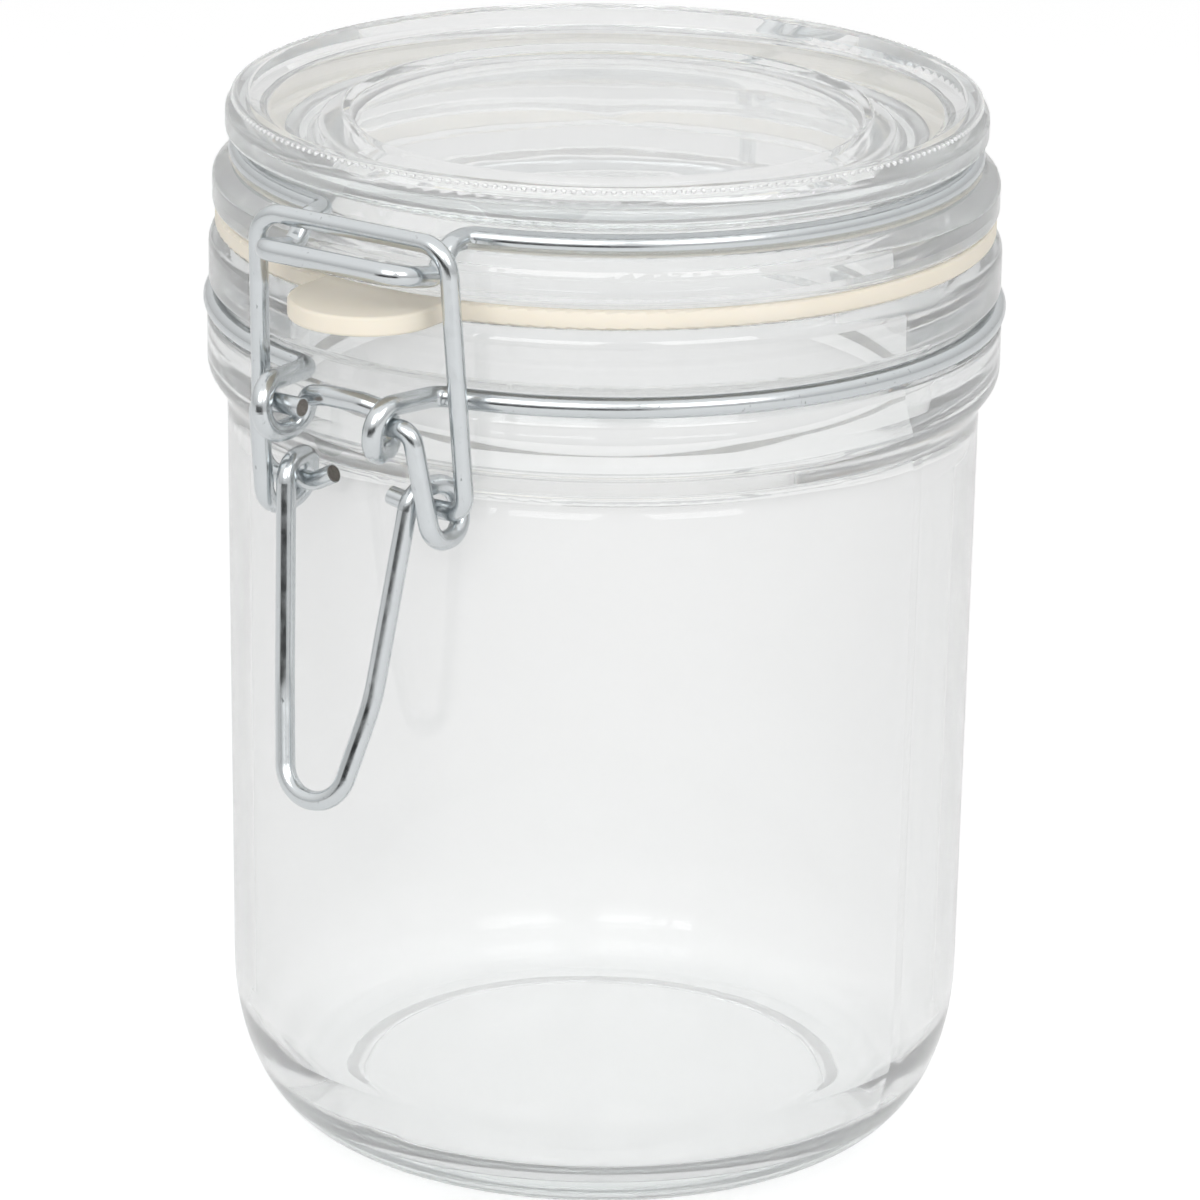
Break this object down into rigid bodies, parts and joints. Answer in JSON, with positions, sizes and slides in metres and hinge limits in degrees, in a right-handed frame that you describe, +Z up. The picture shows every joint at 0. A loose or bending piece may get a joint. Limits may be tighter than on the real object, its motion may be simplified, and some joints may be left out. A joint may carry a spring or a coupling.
{
  "type": "glass storage jar with wire clamp closure",
  "caption": "Round clear glass storage jar with a glass lid, a rubber seal with a pull tab and a zinc-plated wire toggle clamp, shown shut and empty.",
  "frame": {"origin": "on the jar's axis, in the plane it stands on", "axes": "+Z up along the jar's axis, the toggle clamp faces -Y, the hinge is at +Y, X runs across the clamp"},
  "size_m": [0.112, 0.1354, 0.1493],
  "materials": {
    "clear_glass": "polished, faint grey-green in thick places",
    "seal_rubber": "matt cream",
    "zinc_wire": "bright zinc plating with fine scratches"
  },
  "bodies": {
    "jar": {"jar_glass": "clear_glass", "lid_glass": "clear_glass", "seal": "seal_rubber", "lid_wire": "zinc_wire", "neck_wire": "zinc_wire"},
    "lever": {"lever_wire": "zinc_wire"},
    "bail": {"bail_wire": "zinc_wire"}
  },
  "joints": [
    {"name": "lever_swing", "type": "hinge", "parent": "jar", "child": "lever", "pos_m": [0, -0.0628, 0.1177], "axis": [-1, 0, 0], "range_deg": [0, 110]},
    {"name": "bail_swing", "type": "hinge", "parent": "lever", "child": "bail", "pos_m": [0, -0.0572, 0.1056], "axis": [-1, 0, 0], "range_deg": [-79.2, 0]}
  ],
  "couplings": [
    {"joint": "bail_swing", "follows": "lever_swing", "ratio": -0.72}
  ]
}
